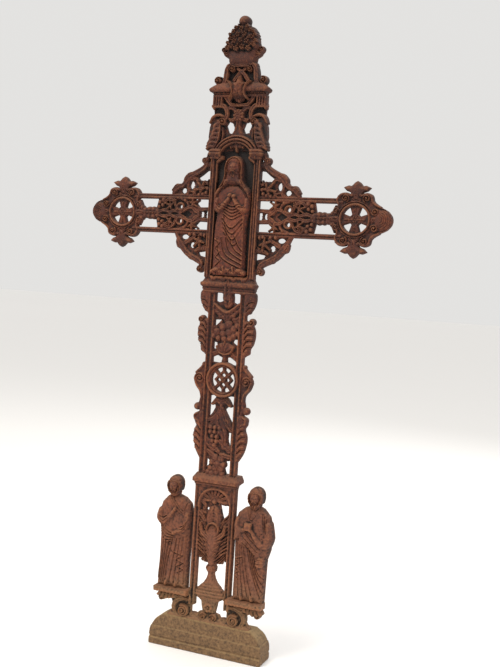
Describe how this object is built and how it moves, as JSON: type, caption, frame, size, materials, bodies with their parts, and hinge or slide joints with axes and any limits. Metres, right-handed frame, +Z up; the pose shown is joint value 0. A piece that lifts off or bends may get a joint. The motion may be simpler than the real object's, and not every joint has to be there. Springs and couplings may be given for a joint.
{
  "type": "iron grave cross",
  "caption": "Openwork cast-iron grave cross with niche figure, two side figures, pierced roundels on the arms and a moulded plinth.",
  "frame": {"origin": "centre of the plinth's underside, where the cross is set on its ground", "axes": "+Z up the shaft, +X along the right arm as seen from the front, -Y out of the carved front"},
  "size_m": [0.8105, 0.0733, 1.6024],
  "materials": {
    "rusted_iron": "weathered red-brown rust, darker in the hollows, paler on worn edges",
    "dusty_iron": "brown rust under dry ochre dust with yellowish specks"
  },
  "bodies": {
    "root": {"cross_frame": "rusted_iron", "niche_figure": "rusted_iron", "left_figure": "rusted_iron", "right_figure": "rusted_iron", "plinth": "dusty_iron"}
  },
  "joints": []
}
